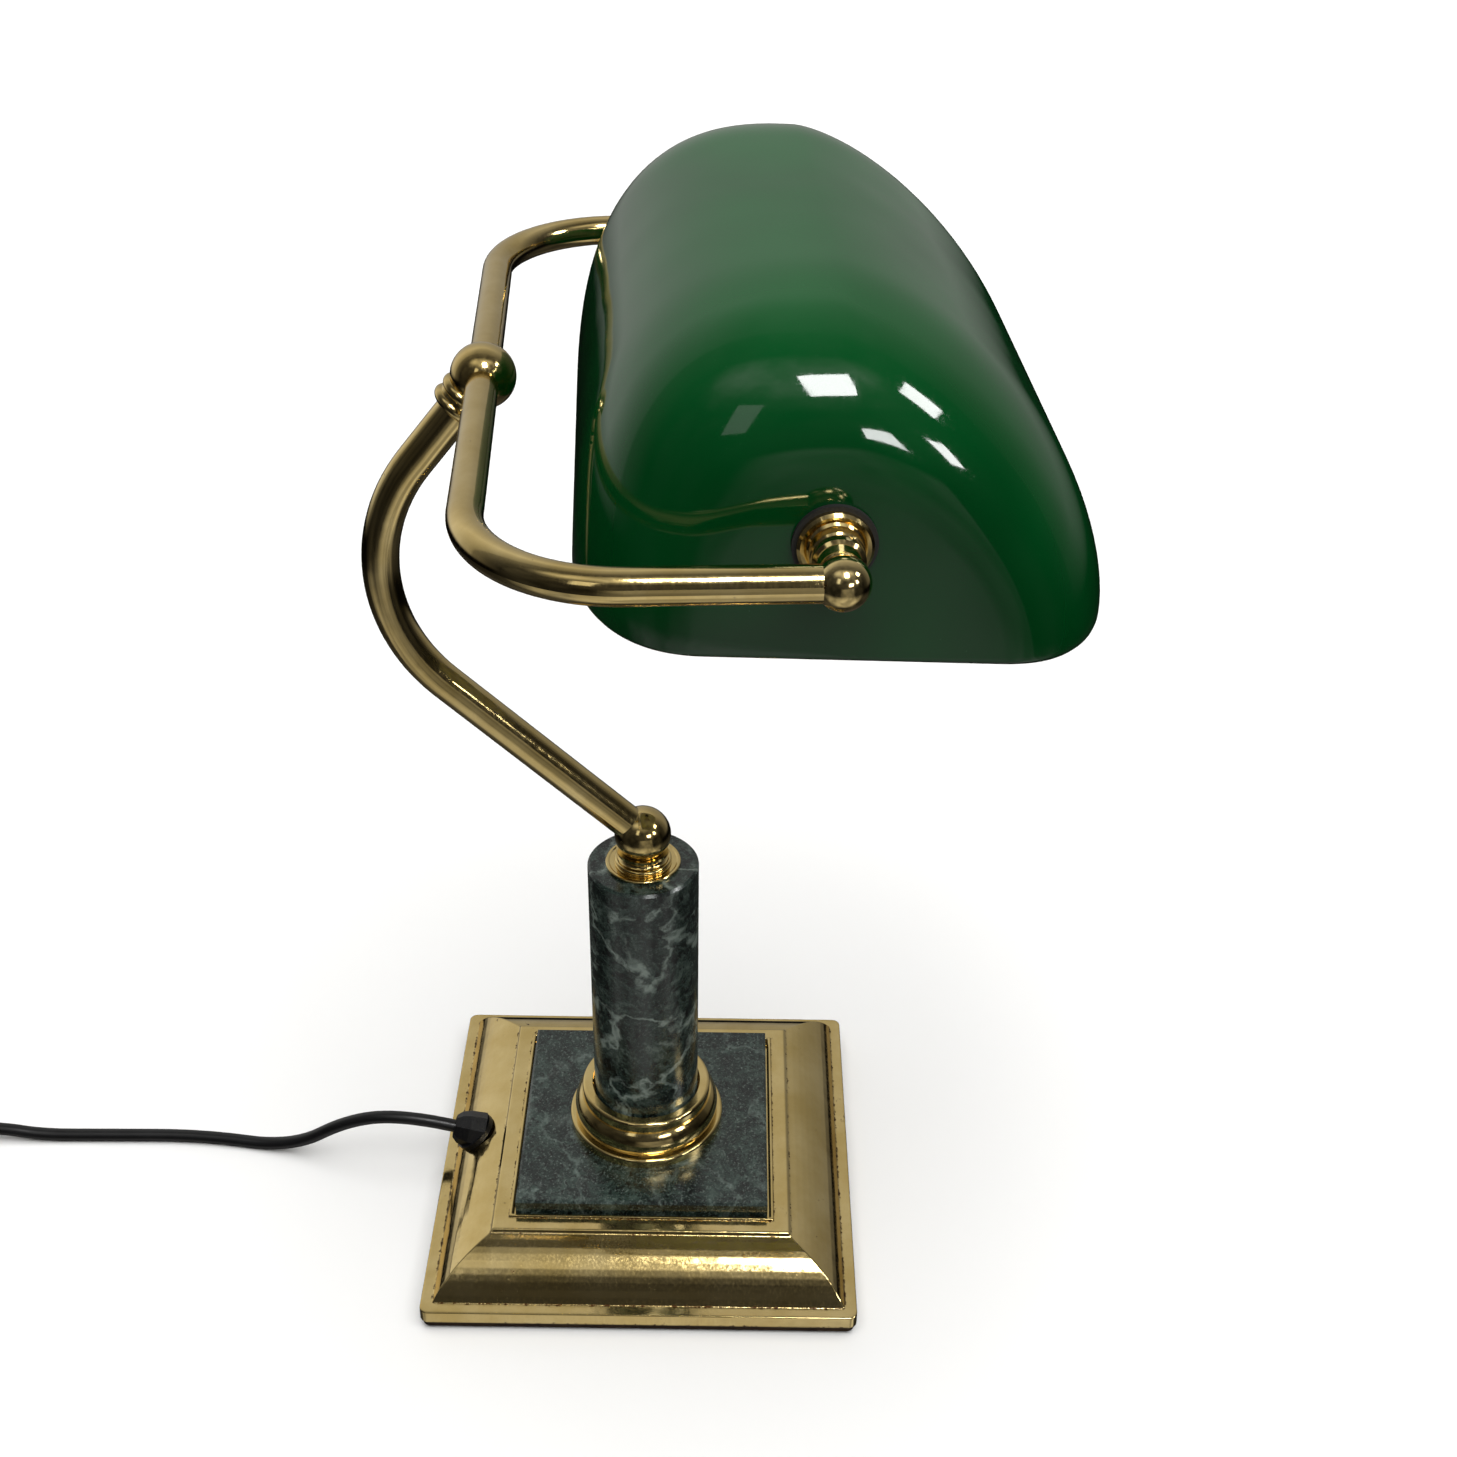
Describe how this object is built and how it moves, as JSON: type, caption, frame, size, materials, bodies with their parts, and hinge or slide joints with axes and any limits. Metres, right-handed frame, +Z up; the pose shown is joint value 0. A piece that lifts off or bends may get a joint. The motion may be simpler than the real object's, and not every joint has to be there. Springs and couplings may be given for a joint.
{
  "type": "banker desk lamp",
  "caption": "Desk lamp with a square brass base, a marble column, a bowed arm and a yoke that carries a tilting trough-shaped green glass shade.",
  "frame": {"origin": "centre of the felt pad's underside, on the desk", "axes": "+Z up; +X along the shade, to the right of the person at the desk; the person sits on the -Y side; the mains cord leaves on the +Y side"},
  "size_m": [0.277, 0.5065, 0.3974],
  "materials": {
    "polished_brass": "polished, lacquered",
    "zinc_steel": "zinc plated",
    "dark_plate": "black oxide",
    "cast_weight": "as cast",
    "felt": "felt",
    "green_marble": "polished",
    "cased_green_glass": "cased, green outside and white inside",
    "frosted_glass": "frosted",
    "bulb_metal": "bright",
    "black_plastic": "moulded",
    "white_plastic": "moulded",
    "ceramic": "unglazed",
    "black_rubber": "soft",
    "cord_rubber": "smooth sheath",
    "lead_sheath": "smooth sheath",
    "nickel_brass": "nickel plated"
  },
  "bodies": {
    "base": {"felt_pad": "felt", "base_plate": "dark_plate", "plate_screws": "zinc_steel", "base_weight": "cast_weight", "base_cover": "polished_brass", "terminal_block": "white_plastic", "terminal_barrels": "polished_brass", "marble_plinth": "green_marble", "marble_column": "green_marble", "column_collar": "polished_brass", "column_cap": "polished_brass", "neck_spool": "polished_brass", "centre_rod": "zinc_steel", "rod_washer": "zinc_steel", "rod_nut": "zinc_steel", "cord_bushing": "black_plastic", "lead_in_base": "lead_sheath", "lamp_cord": "cord_rubber", "plug_cord": "cord_rubber", "cord_coil": "cord_rubber", "coil_tie": "black_plastic", "switch_base": "black_plastic", "switch_cover": "black_plastic", "switch_screws": "zinc_steel", "switch_contacts": "polished_brass", "plug_body": "black_plastic", "plug_pins": "nickel_brass"},
    "switch_rocker": {"switch_rocker": "black_plastic"},
    "arm": {"lower_ball": "polished_brass", "swivel_stem": "zinc_steel", "swivel_clip": "zinc_steel", "arm_tube": "polished_brass", "arm_ring": "polished_brass", "lead_in_arm": "lead_sheath"},
    "yoke": {"upper_ball": "polished_brass", "yoke_stem": "zinc_steel", "yoke_clip": "zinc_steel", "yoke_tube_left": "polished_brass", "yoke_tube_right": "polished_brass", "end_ball_left": "polished_brass", "end_ball_right": "polished_brass", "end_spool_left": "polished_brass", "end_spool_right": "polished_brass", "end_stud_left": "zinc_steel", "end_stud_right": "zinc_steel", "stud_nuts": "zinc_steel", "holder_cap": "black_plastic", "holder_insert": "ceramic", "holder_contact": "polished_brass", "holder_shell": "black_plastic", "holder_liner": "bulb_metal", "bulb_cap": "bulb_metal", "bulb_glass": "frosted_glass", "lead_in_yoke": "lead_sheath"},
    "shade": {"glass_shade": "cased_green_glass", "cup_washers": "polished_brass", "outer_gaskets": "black_rubber", "inner_gaskets": "black_rubber", "inner_washers": "zinc_steel"}
  },
  "joints": [
    {"name": "arm_swivel", "type": "hinge", "parent": "base", "child": "arm", "pos_m": [0, 0, 0.1625], "axis": [0, 0, 1], "range_deg": [-120, 120]},
    {"name": "yoke_swivel", "type": "hinge", "parent": "arm", "child": "yoke", "pos_m": [-0.00281, 0.04591, 0.3415], "axis": [0.0384, -0.6281, 0.7771], "range_deg": [-25, 25]},
    {"name": "shade_tilt", "type": "hinge", "parent": "yoke", "child": "shade", "pos_m": [0.00299, -0.04891, 0.3415], "axis": [0.9981, 0.061, 0], "range_deg": [-50, 60]},
    {"name": "switch_rocker", "type": "hinge", "parent": "base", "child": "switch_rocker", "pos_m": [0.012, 0.303, 0.0115], "axis": [1, 0, 0], "range_deg": [0, 14]}
  ]
}
